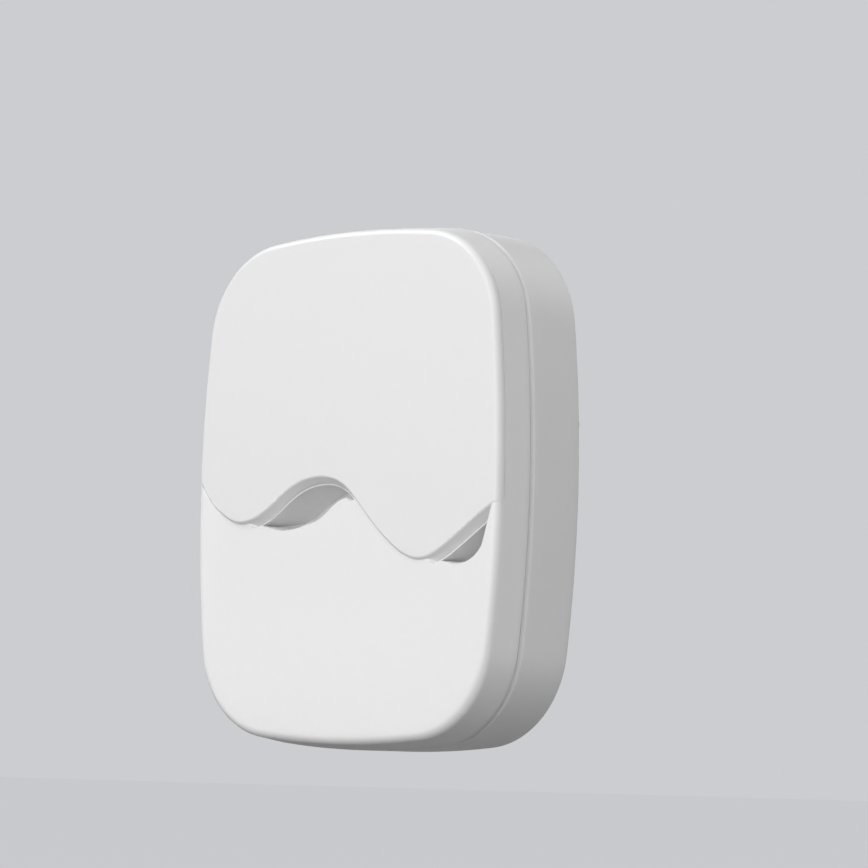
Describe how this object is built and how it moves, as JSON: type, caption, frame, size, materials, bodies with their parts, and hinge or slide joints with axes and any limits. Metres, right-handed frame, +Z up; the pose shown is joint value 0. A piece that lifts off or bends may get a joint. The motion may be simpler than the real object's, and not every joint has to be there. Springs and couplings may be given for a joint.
{
  "type": "wifi range extender",
  "caption": "Plug-in wireless range extender: white pillow-shaped casing with a wave-edged two-layer front, round-pin plug boss, ethernet port and side pair button",
  "frame": {"origin": "On the plug's axis, where it meets the rear face that rests against the socket plate", "axes": "+X right and +Z up as seen from the front, front faces -Y, pins point to +Y"},
  "size_m": [0.0809, 0.056, 0.1],
  "materials": {
    "white_plastic": "fine moulded texture",
    "fascia_plastic": "smooth satin",
    "dark_plastic": "moulded",
    "clear_plastic": "polished",
    "contact_metal": "nickel plated",
    "screw_steel": "zinc plated",
    "tin_sheet": "tinned sheet",
    "heat_aluminium": "extruded",
    "gold_contacts": "gold flashed",
    "board_laminate": "solder mask",
    "ferrite": "sintered",
    "winding_tape": "taped",
    "copper_wire": "enamelled",
    "blue_coating": "dipped",
    "silicone_pad": "soft",
    "insulating_film": "film"
  },
  "bodies": {
    "casing": {"rear_shell": "white_plastic", "front_shell": "white_plastic", "front_fascia": "fascia_plastic", "case_screws": "screw_steel", "plug_pins": "contact_metal", "pin_carrier": "dark_plastic", "power_board": "board_laminate", "bulk_capacitors": "dark_plastic", "transformer_core": "ferrite", "transformer_winding": "winding_tape", "output_capacitors": "dark_plastic", "x_capacitor": "winding_tape", "y_capacitor": "blue_coating", "input_choke": "copper_wire", "varistor": "blue_coating", "fuse": "screw_steel", "bridge_rectifier": "dark_plastic", "power_controller": "dark_plastic", "board_connector": "dark_plastic", "insulation_sheet": "insulating_film", "main_board": "board_laminate", "processor": "dark_plastic", "thermal_pad": "silicone_pad", "heat_sink": "heat_aluminium", "memory_chips": "dark_plastic", "radio_shields": "tin_sheet", "crystal": "tin_sheet", "antennas": "board_laminate", "antenna_cables": "dark_plastic", "antenna_plugs": "gold_contacts", "status_led": "clear_plastic", "light_guide": "clear_plastic", "jack_housing": "dark_plastic", "jack_shield": "tin_sheet", "jack_contacts": "gold_contacts", "jack_magnetics": "dark_plastic", "switch_body": "dark_plastic", "board_screws": "screw_steel"},
    "button": {"pair_button": "fascia_plastic"},
    "plunger": {"switch_plunger": "dark_plastic"}
  },
  "joints": [
    {"name": "button_press", "type": "slide", "parent": "casing", "child": "button", "axis": [1, 0, 0], "range_m": [0, 0.0005]},
    {"name": "plunger_press", "type": "slide", "parent": "casing", "child": "plunger", "axis": [1, 0, 0], "range_m": [0, 0.0005]}
  ],
  "couplings": [
    {"joint": "plunger_press", "follows": "button_press", "ratio": 1}
  ]
}
